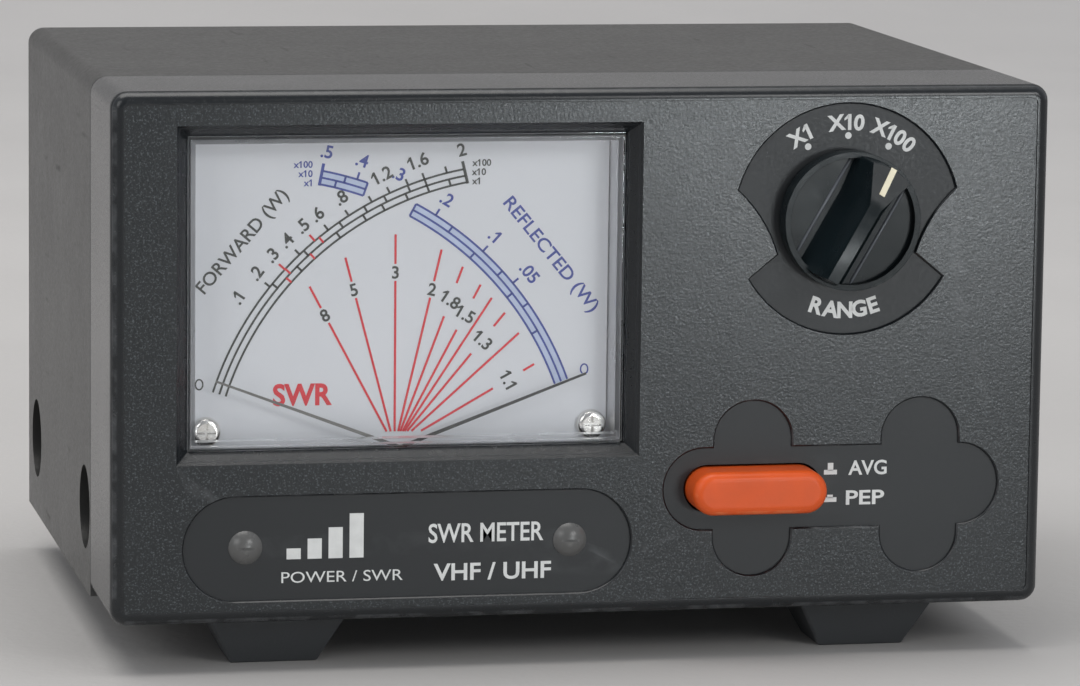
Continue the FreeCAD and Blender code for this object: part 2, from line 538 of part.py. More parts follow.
def range_knob():
    low = KNOB_GAP - FIELD_SINK - LABEL_SINK
    skirt = Part.makeCylinder(KNOB_R, 3.0 - low, V(0, 0, low))
    dish = Part.makeCylinder(KNOB_R - 0.9, 3, V(0, 0, 1.5))
    lean = Part.makeCone(KNOB_R - 0.35, KNOB_R - 1.0, KNOB_STAND + 0.2, V(0, 0, 0))
    bar = knob_bar().common(lean).cut(knob_nose())
    body = join([skirt.cut(dish), bar])
    hollow = Part.makeCylinder(4.7, 2.0, V(0, 0, low - 0.5))
    bore = Part.makeCylinder(SHAFT_R, SHAFT_TOP - low + 1, V(0, 0, low - 1))
    return remove(body, [hollow, bore, pointer_bar()])


def make_range_switch():
    save("range_knob", turned(range_knob()))
    save("knob_pointer", turned(pointer_bar()))
    recess = FIELD_SINK + LABEL_SINK
    bush_end = recess - 1.1
    save("range_switch_shaft", rod(KNOB_X, KNOB_Z, SHAFT_R, -SHAFT_TOP, 16.0))
    body = join([rod(KNOB_X, KNOB_Z, 11.0, FRONT_WALL + 0.2, 19), rod(KNOB_X, KNOB_Z, BUSH_R, bush_end, 5)])
    body = remove(body, [rod(KNOB_X, KNOB_Z, SHAFT_R + 0.05, -5, 16.6), rod(KNOB_X, KNOB_Z, 9.4, 6, 16.6)])
    save("range_switch_body", body)
    rotor = ring(KNOB_X, KNOB_Z, 8.6, SHAFT_R, 9.5, 11.5)
    wiper = block((KNOB_X - 0.8, KNOB_X + 0.8), (11.5, 13.0), (KNOB_Z + 4.5, KNOB_Z + 8.0))
    wiper.rotate(V(KNOB_X, 0, KNOB_Z), Y_AXIS, -KNOB_TURN)
    save("range_switch_rotor", join([rotor, wiper]))
    corners = [(KNOB_X + 4.5 * math.cos(math.radians(60 * i)), KNOB_Z + 4.5 * math.sin(math.radians(60 * i)))
               for i in range(6)]
    save("range_switch_nut", prism(corners, bush_end + 0.1, recess).cut(rod(KNOB_X, KNOB_Z, BUSH_R, -5, 5)))


# ---------------------------------------------------------------- mode button and switch

def mode_button():
    """The push cap: a bar with round ends and a softly rounded face."""
    cap = stadium(BUTTON_X, BUTTON_Z, BUTTON_W, BUTTON_H, -BUTTON_STAND, 2.4)
    cap = front_fillet(cap, -BUTTON_STAND, 1.4)
    return cap.cut(block((BUTTON_X - 1.5, BUTTON_X + 1.5), (-1.0, 3), (BUTTON_Z - 1.5, BUTTON_Z + 1.5)))


def make_mode_switch():
    save("mode_button", mode_button())
    save("mode_switch_plunger", block((BUTTON_X - 1.5, BUTTON_X + 1.5), (-1.0, 15),
                                      (BUTTON_Z - 1.5, BUTTON_Z + 1.5)))
    housing = join([block((BUTTON_X - 5, BUTTON_X + 5), (8, 22), (BUTTON_Z - 4.5, BUTTON_Z + 4.5)),
                    block((BUTTON_X - 17, BUTTON_X + 17), (8, 9.5), (BUTTON_Z - 3, BUTTON_Z + 3))])
    bore = block((BUTTON_X - 1.56, BUTTON_X + 1.56), (7, 20), (BUTTON_Z - 1.56, BUTTON_Z + 1.56))
    save("mode_switch_body", remove(housing, [bore] + [rod(x, z, 1.1, 5, 12) for x, z in SWITCH_POSTS]))


# ---------------------------------------------------------------- circuit board, coupler and rear sockets

BOARD = {"x": (-54.0, 54.0), "y": (36.0, 84.0), "z": (9.0, 10.6)}
BOARD_HOLES = [(x, y) for x in (-50, 50) for y in (40, 80)]
COUPLER = {"x": (-42.0, 42.0), "y": (72.0, REAR_PANEL_Y), "z": (28.0, 56.0)}
LINE_Y = 88.0


def socket_screw_places():
    h = SOCKET_HOLES / 2
    return [(sx * SOCKET_X + i * h, SOCKET_Z + j * h) for sx in (-1, 1) for i in (-1, 1) for j in (-1, 1)]


def make_board():
    board = block(BOARD["x"], BOARD["y"], BOARD["z"])
    drills = [Part.makeCylinder(1.3, 6, V(x, y, 7)) for x, y in BOARD_HOLES]
    save("meter_board", remove(board, drills))
    posts = [Part.makeCylinder(2.6, BOARD["z"][0] - PLATE, V(x, y, PLATE)) for x, y in BOARD_HOLES]
    save("board_standoffs", *[remove(p, [Part.makeCylinder(1.25, 20, V(x, y, -1))])
                              for p, (x, y) in zip(posts, BOARD_HOLES)])
    save("board_screws", *[pan_screw(V(x, y, BOARD["z"][1]), Z_AXIS, 1.25, 5.5, 2.3, 1.6, 0.5)
                           for x, y in BOARD_HOLES])
    top = BOARD["z"][1]
    trimmers = []
    for i in range(6):
        x = -34 + i * 8.5
        body = block((x - 3.2, x + 3.2), (42, 48.4), (top, top + 4.6))
        trimmers.append(body.cut(Part.makeCylinder(1.2, 1.0, V(x, 45.2, top + 4.0))))
    save("range_trimmers", *trimmers)
    caps = [Part.makeCylinder(3.15, 9.0, V(x, 58, top)) for x in (-30, -20, 24, 34)]
    chips = [block((x - 5, x + 5), (56, 62.4), (top, top + 3.4)) for x in (-6, 10)]
    resistors = [Part.makeCylinder(1.1, 6.3, V(-36 + i * 9, 70, top + 1.1), X_AXIS) for i in range(6)]
    save("board_components", *(caps + chips + resistors))


def make_coupler():
    outer = block(COUPLER["x"], COUPLER["y"], COUPLER["z"])
    t = 1.2
    inner = block((COUPLER["x"][0] + t, COUPLER["x"][1] - t), (COUPLER["y"][0] + t, COUPLER["y"][1] - t),
                  (COUPLER["z"][0] + t, COUPLER["z"][1] + 1))
    holes = [rod(sx * SOCKET_X, SOCKET_Z, 6.1, 100, 110) for sx in (-1, 1)]
    holes += [rod(x, z, 1.3, 100, 110) for x, z in socket_screw_places()]
    holes += [Part.makeCylinder(1.1, 5, V(sx * 30, 76, 26)) for sx in (-1, 1)]
    save("coupler_box", remove(outer, [inner] + holes))
    save("coupler_lid", block(COUPLER["x"], COUPLER["y"], (COUPLER["z"][1], COUPLER["z"][1] + 1)))
    line = Part.makeCylinder(2.2, 2 * SOCKET_X, V(-SOCKET_X, LINE_Y, SOCKET_Z), X_AXIS)
    save("coupler_line", join([line] + [rod(sx * SOCKET_X, SOCKET_Z, 2.2, LINE_Y, 98) for sx in (-1, 1)]))
    low = BOARD["z"][1]
    save("sensor_leads", *[Part.makeCylinder(1.1, COUPLER["z"][0] + t - low, V(sx * 30, 76, low))
                           for sx in (-1, 1)])


def socket_shell(x):
    """Panel socket: square flange, threaded barrel and the stub behind the panel."""
    face = REAR_PANEL_Y + REAR_PANEL_T
    h = FLANGE / 2
    flange = block((x - h, x + h), (face, face + FLANGE_T), (SOCKET_Z - h, SOCKET_Z + h))
    corners = [e for e in flange.Edges if e.BoundBox.YLength > 1]
    flange = flange.makeFillet(2.0, corners)
    barrel = rod(x, SOCKET_Z, SOCKET_R, face + FLANGE_T - 0.5, face + FLANGE_T + SOCKET_LENGTH)
    stub = rod(x, SOCKET_Z, 6.0, 100.5, face + 0.5)
    body = join([flange, barrel, stub])
    body = body.cut(rod(x, SOCKET_Z, 6.4, 112, 140))
    holes = [rod(a, z, 1.6, 90, 120) for a, z in socket_screw_places()]
    return remove(body, [rod(x, SOCKET_Z, 4.6, 90, 140)] + holes)


def make_rear():
    face = REAR_PANEL_Y + REAR_PANEL_T
    tip = face + FLANGE_T + SOCKET_LENGTH
    save("transmitter_socket", socket_shell(-SOCKET_X))
    save("antenna_socket", socket_shell(SOCKET_X))
    insulators, contacts = [], []
    for sx in (-1, 1):
        x = sx * SOCKET_X
        insulator = join([rod(x, SOCKET_Z, 4.6, 100.5, 112), rod(x, SOCKET_Z, 6.4, 112, tip - 5.5)])
        insulators.append(insulator.cut(rod(x, SOCKET_Z, 2.6, 90, 140)))
        contact = rod(x, SOCKET_Z, 2.6, 98, tip - 3.5).cut(rod(x, SOCKET_Z, 2.0, tip - 14, 140))
        contacts.append(contact)
    save("socket_insulators", *insulators)
    save("socket_contacts", *contacts)
    save("socket_screws", *[pan_screw(V(x, face + FLANGE_T, z), Y_AXIS, 1.3, 7, 2.4, 1.7, 0.5)
                            for x, z in socket_screw_places()])
    jack = join([block((JACK_X - 5.5, JACK_X + 5.5), (91, REAR_PANEL_Y), (JACK_Z - 5.5, JACK_Z + 5.5)),
                 rod(JACK_X, JACK_Z, 4.0, REAR_PANEL_Y - 1, face + 1.6),
                 ring(JACK_X, JACK_Z, 5.2, 3.9, face, face + 1.6)])
    jack = jack.cut(rod(JACK_X, JACK_Z, 2.8, 95, 120))
    save("power_jack", join([jack, rod(JACK_X, JACK_Z, 1.0, 93, face)]))


os.makedirs("parts", exist_ok=True)
make_case()
make_meter()
make_range_switch()
make_mode_switch()
make_board()
make_coupler()
make_rear()
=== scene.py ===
"""Looks of the cross-needle SWR meter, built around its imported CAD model, in metres in the model's frame."""
import json
import math

import bmesh
import bpy
from mathutils import Matrix, Vector

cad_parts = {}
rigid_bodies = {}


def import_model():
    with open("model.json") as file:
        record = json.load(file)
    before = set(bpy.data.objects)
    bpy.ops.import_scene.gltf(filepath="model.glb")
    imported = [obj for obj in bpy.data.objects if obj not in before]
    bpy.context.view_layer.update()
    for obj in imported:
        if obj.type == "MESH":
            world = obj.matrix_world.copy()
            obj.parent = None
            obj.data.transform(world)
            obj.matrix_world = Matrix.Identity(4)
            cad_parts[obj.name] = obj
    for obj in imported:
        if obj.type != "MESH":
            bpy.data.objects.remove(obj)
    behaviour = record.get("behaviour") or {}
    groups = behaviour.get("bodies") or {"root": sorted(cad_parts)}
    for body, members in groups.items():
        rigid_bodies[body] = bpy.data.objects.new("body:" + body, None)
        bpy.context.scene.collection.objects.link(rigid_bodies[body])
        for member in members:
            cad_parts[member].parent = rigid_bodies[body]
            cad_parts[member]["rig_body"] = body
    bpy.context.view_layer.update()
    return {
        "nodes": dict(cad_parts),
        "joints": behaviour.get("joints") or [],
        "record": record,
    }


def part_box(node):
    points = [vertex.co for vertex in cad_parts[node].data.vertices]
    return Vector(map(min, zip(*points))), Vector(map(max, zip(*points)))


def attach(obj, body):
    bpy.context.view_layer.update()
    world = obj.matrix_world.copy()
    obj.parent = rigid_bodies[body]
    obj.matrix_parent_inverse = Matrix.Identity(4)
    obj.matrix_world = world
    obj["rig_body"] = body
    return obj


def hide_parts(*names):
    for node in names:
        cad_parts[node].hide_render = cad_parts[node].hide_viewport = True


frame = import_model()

MM = 0.001
NODES = frame["nodes"]
JOINTS = {j["name"]: Vector(j["pos_m"]) for j in frame["joints"] if "pos_m" in j}
SLOT_OF = {s["node"]: s["material_slot"] for s in frame["record"]["subparts"]}

CASE_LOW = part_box("front_bezel")[0]
FIELD_Y = CASE_LOW.y + 0.25 * MM        # grained face of the front panel
RECESS_Y = CASE_LOW.y + 0.80 * MM       # floor of the label recesses
METER_X = (JOINTS["forward_needle_swing"].x + JOINTS["reflected_needle_swing"].x) / 2
KNOB = JOINTS["range_turn"]


# ---------------------------------------------------------------- materials

class Finish:
    """A Principled material in object coordinates, to which each method adds one kind of surface detail."""

    def __init__(self, name, colour, rough, metal=0.0, specular=0.5):
        self.material = bpy.data.materials.new(name)
        self.material.use_nodes = True
        self.tree = self.material.node_tree
        self.shader = self.tree.nodes["Principled BSDF"]
        self.shader.inputs["Metallic"].default_value = metal
        self.shader.inputs["Specular IOR Level"].default_value = specular
        self.place = self.add("ShaderNodeTexCoord").outputs["Object"]
        self.colour = self.add("ShaderNodeRGB").outputs[0]
        self.colour.default_value = (*colour, 1)
        self.rough = self.add("ShaderNodeValue").outputs[0]
        self.rough.default_value = rough
        self.normal = None

    def add(self, kind, **inputs):
        node = self.tree.nodes.new(kind)
        for key, value in inputs.items():
            self.feed(node.inputs[key.replace("_", " ")], value)
        return node

    def feed(self, socket, value):
        if isinstance(value, bpy.types.NodeSocket):
            self.tree.links.new(value, socket)
        else:
            socket.default_value = value

    def math(self, operation, *values):
        node = self.tree.nodes.new("ShaderNodeMath")
        node.operation = operation
        for socket, value in zip(node.inputs, values):
            self.feed(socket, value)
        return node.outputs[0]

    def noise(self, size, detail=2.0, stretch=(1, 1, 1)):
        """Noise from 0 to 1 whose features are about `size` mm across."""
        shaped = self.add("ShaderNodeMapping", Vector=self.place, Scale=stretch)
        node = self.add("ShaderNodeTexNoise", Vector=shaped.outputs[0], Scale=1 / (size * MM), Detail=detail)
        return node.outputs[0]

    def ramp(self, value, low, high, start=0.0, end=1.0):
        node = self.add("ShaderNodeMapRange", Value=value)
        for key, number in (("From Min", low), ("From Max", high), ("To Min", start), ("To Max", end)):
            node.inputs[key].default_value = number
        return node.outputs[0]

    def blend(self, mask, a, b):
        node = self.tree.nodes.new("ShaderNodeMix")
        node.data_type = "RGBA"
        self.feed(node.inputs[0], mask)
        for socket, value in ((node.inputs[6], a), (node.inputs[7], b)):
            self.feed(socket, value if isinstance(value, bpy.types.NodeSocket) else (*value, 1))
        return node.outputs[2]

    def mottle(self, size, amount):
        """Slow colour variation, lighter and darker by `amount`."""
        factor = self.ramp(self.noise(size, 3.0), 0.3, 0.7, 1 - amount, 1 + amount)
        node = self.add("ShaderNodeVectorMath", Vector=self.colour)
        node.operation = "SCALE"
        self.feed(node.inputs["Scale"], factor)
        self.colour = node.outputs[0]
        return self

    def gloss(self, size, amount, stretch=(1, 1, 1)):
        """Rougher and glossier patches."""
        patches = self.ramp(self.noise(size, 4.0, stretch), 0.3, 0.7, -amount, amount)
        self.rough = self.math("ADD", self.rough, patches)
        return self

    def bump(self, height, depth, mask=1.0):
        """Relief `depth` mm deep."""
        node = self.add("ShaderNodeBump", Height=height, Strength=mask, Distance=depth * MM)
        if self.normal is not None:
            self.feed(node.inputs["Normal"], self.normal)
        self.normal = node.outputs[0]
        return self

    def grain(self, size, depth, mask=1.0, detail=2.0, stretch=(1, 1, 1)):
        return self.bump(self.noise(size, detail, stretch), depth, mask)

    def edge_wear_and_highlight(self, colour, amount=0.5, size=3.0):
        """Edges turned to another colour, more in some places than in others: rubbing on the screws and
        plastics, and a painted highlight along the rims and ridges of the mouldings, knob and button.
        """
        edge = self.ramp(self.add("ShaderNodeNewGeometry").outputs["Pointiness"], 0.52, 0.62)
        patch = self.ramp(self.noise(size, 5.0), 0.42, 0.62)
        edge_scuff_and_highlight = self.math("MULTIPLY", self.math("MULTIPLY", edge, patch), amount)
        self.colour = self.blend(edge_scuff_and_highlight, self.colour, colour)
        return self

    def dust_and_top_light(self, amount):
        """Pale patches on faces that look up: a fine dusting, and painted light that makes the tops read
        lighter.
        """
        normal = self.add("ShaderNodeNewGeometry").outputs["Normal"]
        up = self.add("ShaderNodeSeparateXYZ", Vector=normal).outputs[2]
        dusting_and_top_light = self.math("MULTIPLY", self.ramp(up, 0.4, 1.0), self.ramp(self.noise(1.5, 6.0), 0.45, 0.75))
        self.colour = self.blend(self.math("MULTIPLY", dusting_and_top_light, amount), self.colour, (0.35, 0.34, 0.32))
        return self

    def done(self, **sockets):
        for key, value in sockets.items():
            self.feed(self.shader.inputs[key.replace("_", " ")], value)
        self.feed(self.shader.inputs["Base Color"], self.colour)
        self.feed(self.shader.inputs["Roughness"], self.rough)
        if self.normal is not None:
            self.feed(self.shader.inputs["Normal"], self.normal)
        return self.material


def plastic(name, colour, rough, grain=(0.25, 0.02), variation=0.08):
    finish = Finish(name, colour, rough).mottle(18, variation).gloss(9, 0.05).grain(*grain)
    return finish.edge_wear_and_highlight([min(1, c * 2 + 0.02) for c in colour], 0.4)


def metal(name, colour, rough, lines=(1, 1, 1)):
    finish = Finish(name, colour, rough, metal=1.0).mottle(6, 0.08).gloss(2.5, 0.07, lines)
    return finish.grain(0.12, 0.006, stretch=lines)


def front_plastic():
    """Black moulding: a grained field, sparkling with pale painted glints, between a smooth lip and the
    recesses' smooth floors.
    """
    f = Finish("front_plastic", (0.007, 0.009, 0.011), 0.235)
    y = f.add("ShaderNodeSeparateXYZ", Vector=f.place).outputs[1]
    normal = f.add("ShaderNodeNewGeometry").outputs["True Normal"]
    facing = f.add("ShaderNodeSeparateXYZ", Vector=normal).outputs[1]
    level = f.math("COMPARE", y, FIELD_Y, 0.12 * MM)
    field = f.math("MULTIPLY", level, f.math("LESS_THAN", facing, -0.98))
    floor = f.math("COMPARE", y, RECESS_Y, 0.12 * MM)
    f.mottle(25, 0.03)
    f.colour = f.blend(field, f.colour, (0.013, 0.016, 0.018))
    # Painted glints: pale dots put into the field's colour where its grain would catch the light.
    glint_noise = f.ramp(f.noise(0.30, 1.0), 0.56, 0.72)
    painted_glints = f.math("MULTIPLY", f.math("MULTIPLY", glint_noise, field), 0.65)
    f.colour = f.blend(painted_glints, f.colour, (0.10, 0.115, 0.125))
    f.colour = f.blend(floor, f.colour, (0.010, 0.012, 0.014))
    f.rough = f.math("ADD", f.rough, f.math("MULTIPLY", floor, 0.16))
    f.gloss(14, 0.012).gloss(0.5, 0.05)
    f.grain(0.36, 0.028, f.math("ADD", f.math("MULTIPLY", field, 0.85), 0.06), detail=3.0)
    # Painted highlight along the edges and recess rims, and paler upward faces: dusting with painted light.
    f.edge_wear_and_highlight((0.09, 0.095, 0.10), 0.5).dust_and_top_light(0.06)
    return f.done()


def cover_plastic():
    """Black satin moulding with a fine even texture, scuffed in a few places."""
    f = Finish("cover_plastic", (0.024, 0.024, 0.023), 0.38).mottle(30, 0.04)
    f.gloss(15, 0.015).gloss(0.6, 0.04)
    scuffs = f.ramp(f.noise(2.2, 6.0, (1, 0.15, 1)), 0.66, 0.80)
    f.rough = f.math("ADD", f.rough, f.math("MULTIPLY", scuffs, 0.12))
    f.grain(0.30, 0.030, detail=3.0).grain(0.9, 0.006)
    # Paler edges and upward faces: partly rubbing and dusting, partly painted highlight and painted top light.
    return f.edge_wear_and_highlight((0.08, 0.08, 0.08), 0.5).dust_and_top_light(0.08).done()


def clear_plastic():
    """Clear moulding: its front mirrors more the flatter it is seen, and its walls look cloudy."""
    f = Finish("clear_plastic", (0.94, 0.95, 0.97), 0.03, metal=1.0)
    normal = f.add("ShaderNodeSeparateXYZ", Vector=f.add("ShaderNodeNewGeometry").outputs["Normal"])
    front = f.ramp(f.math("ABSOLUTE", normal.outputs[1]), 0.80, 0.97)
    facing = f.add("ShaderNodeLayerWeight", Blend=0.5).outputs["Facing"]
    mirror = f.math("ADD", 0.035, f.math("MULTIPLY", f.math("POWER", facing, 5.0), 0.9))
    f.gloss(20, 0.02)
    cloudy = f.math("ADD", 0.55, f.math("MULTIPLY", mirror, 0.4))
    alpha = f.math("ADD", f.math("MULTIPLY", front, mirror),
                   f.math("MULTIPLY", f.math("SUBTRACT", 1.0, front), cloudy))
    f.rough = f.math("ADD", f.rough, f.math("MULTIPLY", f.math("SUBTRACT", 1.0, front), 0.25))
    f.grain(6.0, 0.004)
    return f.done(Alpha=alpha)


def gloss_black():
    """Polished knob plastic with hairline scratches; its ridges are lightened, partly by rubbing and partly as
    a painted highlight, and its blue-green tint is a painted sheen.
    """
    f = Finish("knob_plastic", (0.006, 0.010, 0.012), 0.24, specular=0.16).mottle(8, 0.15).gloss(3.0, 0.04)
    f.grain(1.2, 0.004).grain(0.15, 0.003, stretch=(1, 1, 0.1))
    return f.edge_wear_and_highlight((0.06, 0.065, 0.065), 0.35, 1.5).done(Coat_Weight=0.04, Coat_Roughness=0.08)


def button_orange():
    f = Finish("button_orange", (0.70, 0.095, 0.014), 0.34, specular=0.35).mottle(6, 0.07).gloss(3, 0.06)
    f.grain(0.35, 0.010).grain(1.8, 0.012)
    f.edge_wear_and_highlight((0.85, 0.28, 0.12), 0.35, 2.0)
    return f.done(Subsurface_Weight=0.08, Subsurface_Radius=(0.002, 0.0008, 0.0004), Subsurface_Scale=0.5)


def dial_paint():
    """Matt white printed card, a little uneven, with a fine paper tooth."""
    f = Finish("dial_paint", (0.73, 0.75, 0.785), 0.62, specular=0.3).mottle(22, 0.015).gloss(5, 0.05)
    return f.grain(0.09, 0.006).done()


def board_green():
    f = Finish("board_green", (0.015, 0.12, 0.045), 0.35).mottle(3, 0.15).gloss(4, 0.08)
    tracks = f.ramp(f.noise(2.5, 1.0, (1, 0.2, 1)), 0.52, 0.54)
    f.colour = f.blend(tracks, f.colour, (0.03, 0.20, 0.07))
    return f.bump(tracks, 0.03).done()


SHINY = (1, 8, 1)
FINISHES = {
    "case_plastic": cover_plastic(),
    "chassis_steel": metal("chassis_steel", (0.07, 0.07, 0.07), 0.46).done(Metallic=0.3),
    # The feet's tops are made paler: painted light from above, with some dusting.
    "foot_plastic": plastic("foot_plastic", (0.040, 0.043, 0.046), 0.50, (0.4, 0.03)).dust_and_top_light(0.3).done(),
    "black_screw": metal("black_screw", (0.06, 0.06, 0.062), 0.33).edge_wear_and_highlight((0.5, 0.5, 0.5), 0.8, 1.0).done(),
    "bright_screw": metal("bright_screw", (0.80, 0.79, 0.76), 0.17).done(),
    "clear_plastic": clear_plastic(),
    "dial_face": dial_paint(),
    "meter_plastic": plastic("meter_plastic", (0.62, 0.63, 0.64), 0.45).done(),
    "lamp_glass": Finish("lamp_glass", (0.85, 0.80, 0.70), 0.08).gloss(2, 0.03).mottle(3, 0.1).done(),
    "soft_iron": metal("soft_iron", (0.45, 0.44, 0.43), 0.35).done(),
    "magnet": metal("magnet", (0.25, 0.24, 0.24), 0.42).done(),
    "light_alloy": metal("light_alloy", (0.78, 0.78, 0.80), 0.28, SHINY).done(),
    "jewel": Finish("jewel", (0.5, 0.02, 0.06), 0.08).gloss(0.6, 0.03).mottle(1, 0.2).done(),
    "spring_bronze": metal("spring_bronze", (0.70, 0.42, 0.22), 0.25).done(),
    "copper_wire": metal("copper_wire", (0.80, 0.36, 0.20), 0.3, (1, 12, 1)).done(),
    "pivot_steel": metal("pivot_steel", (0.70, 0.70, 0.70), 0.15).done(),
    "grey_needle": Finish("grey_needle", (0.15, 0.15, 0.14), 0.4).mottle(4, 0.1).grain(0.1, 0.004).done(),
    "black_needle": Finish("black_needle", (0.02, 0.02, 0.02), 0.4).mottle(4, 0.1).grain(0.1, 0.004).done(),
    "brass_trim": metal("brass_trim", (0.75, 0.55, 0.25), 0.24).done(),
    "adjuster_grey": plastic("adjuster_grey", (0.10, 0.10, 0.098), 0.27, (0.3, 0.006)).done(),
    "knob_black": gloss_black(),
    "pointer_cream": Finish("pointer_cream", (0.80, 0.74, 0.55), 0.38).mottle(2, 0.06).grain(
        0.2, 0.008).done(),
    "switch_plastic": plastic("switch_plastic", (0.03, 0.03, 0.03), 0.4).done(),
    "switch_rotor": plastic("switch_rotor", (0.55, 0.45, 0.30), 0.4).done(),
    "nut_steel": metal("nut_steel", (0.65, 0.64, 0.62), 0.22).done(),
    "button_orange": button_orange(),
    "white_plastic": plastic("white_plastic", (0.75, 0.74, 0.70), 0.4).done(),
    "board_green": board_green(),
    "trimmer_blue": plastic("trimmer_blue", (0.03, 0.12, 0.5), 0.35).done(),
    "component_black": plastic("component_black", (0.02, 0.02, 0.022), 0.4).done(),
    "tin_plate": metal("tin_plate", (0.72, 0.72, 0.70), 0.30).done(),
    "socket_nickel": metal("socket_nickel", (0.74, 0.72, 0.68), 0.20).done(),
    "socket_insulator": plastic("socket_insulator", (0.82, 0.81, 0.76), 0.42, (0.3, 0.01), 0.04).done(),
    "contact_brass": metal("contact_brass", (0.80, 0.62, 0.32), 0.22).done(),
    "jack_plastic": plastic("jack_plastic", (0.02, 0.02, 0.02), 0.38).done(),
    "lead_jacket": plastic("lead_jacket", (0.35, 0.02, 0.02), 0.45).done(),
}
for node, slot in SLOT_OF.items():
    NODES[node].data.materials.clear()
    NODES[node].data.materials.append(FINISHES[slot])


# ---------------------------------------------------------------- refined copies of CAD pieces

def body_of(node):
    return NODES[node]["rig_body"]


def place_mesh(mesh, name, body, material):
    piece = bpy.data.objects.new(name, mesh)
    bpy.context.scene.collection.objects.link(piece)
    mesh.materials.clear()
    mesh.materials.append(material)
    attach(piece, body)
    return piece


def clean_copy(node):
    """The node's mesh with its seams welded and its flat faces merged, ready for bevels."""
    mesh = NODES[node].data.copy()
    work = bmesh.new()
    work.from_mesh(mesh)
    bmesh.ops.remove_doubles(work, verts=work.verts, dist=1e-6)
    bmesh.ops.dissolve_limit(work, angle_limit=math.radians(0.8), verts=work.verts, edges=work.edges)
    work.to_mesh(mesh)
    work.free()
    if "custom_normal" in mesh.attributes:
        mesh.attributes.remove(mesh.attributes["custom_normal"])
    return mesh


def soften(piece, width, angle=35, segments=2):
    """Rounds the piece's edges by `width` mm and keeps its faces flat between them."""
    for polygon in piece.data.polygons:
        polygon.use_smooth = True
    bevel = piece.modifiers.new("edges", "BEVEL")
    bevel.width = width * MM
    bevel.segments = segments
    bevel.limit_method = "ANGLE"
    bevel.angle_limit = math.radians(angle)
    bevel.use_clamp_overlap = True
    bevel.miter_outer = "MITER_ARC"
    weighted = piece.modifiers.new("shading", "WEIGHTED_NORMAL")
    weighted.keep_sharp = True
    return piece


def refined(node, width, angle=35, material=None, segments=2):
    piece = place_mesh(clean_copy(node), node + "_shape", body_of(node),
                       material or FINISHES[SLOT_OF[node]])
    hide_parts(node)
    return soften(piece, width, angle, segments)


refined("front_bezel", 0.06, material=front_plastic())
refined("case_cover", 0.30)
refined("range_knob", 0.16, 30)
refined("mode_button", 0.12, 30)
refined("rear_panel", 0.15)
refined("meter_cover", 0.15)
for end in ("front", "rear"):
    for side in ("left", "right"):
        refined("foot_%s_%s" % (end, side), 0.25, 30)


def knob_beads():
    """The raised hairline on each side of the knob's finger bar, where it meets the dished floor, coloured
    pale as a painted highlight.
    """
    pointer = sum(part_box("knob_pointer"), Vector()) / 2 - KNOB
    turn = math.atan2(pointer.x, pointer.z)
    floor_y = CASE_LOW.y - 1.5 * MM
    work = bmesh.new()
    for side in (-1, 1):
        rings = []
        for along in (-8.1, -7.6, 7.6, 8.1):
            thick = 0.24 if abs(along) < 8 else 0.08
            ring = []
            for i in range(9):
                a = math.pi * i / 8
                x, h = side * 4.75 + thick * math.cos(a), thick * 1.4 * math.sin(a)
                ring.append(work.verts.new((
                    KNOB.x + (x * math.cos(turn) + along * math.sin(turn)) * MM,
                    floor_y - h * MM,
                    KNOB.z + (along * math.cos(turn) - x * math.sin(turn)) * MM)))
            rings.append(ring)
        for one, two in zip(rings, rings[1:]):
            for i in range(8):
                work.faces.new((one[i], one[i + 1], two[i + 1], two[i]))
    bmesh.ops.recalc_face_normals(work, faces=work.faces)
    mesh = bpy.data.meshes.new("knob_beads")
    work.to_mesh(mesh)
    work.free()
    for polygon in mesh.polygons:
        polygon.use_smooth = True
    # Painted highlight: the beads are coloured paler than the knob, to show the bright hairlines its edges
    # catch.
    bead_highlight = Finish("knob_bead_highlight", (0.11, 0.12, 0.135), 0.22).mottle(3, 0.15).gloss(2, 0.05)
    place_mesh(mesh, "knob_beads", "range_selector", bead_highlight.grain(0.3, 0.004).done())


knob_beads()


# ---------------------------------------------------------------- print

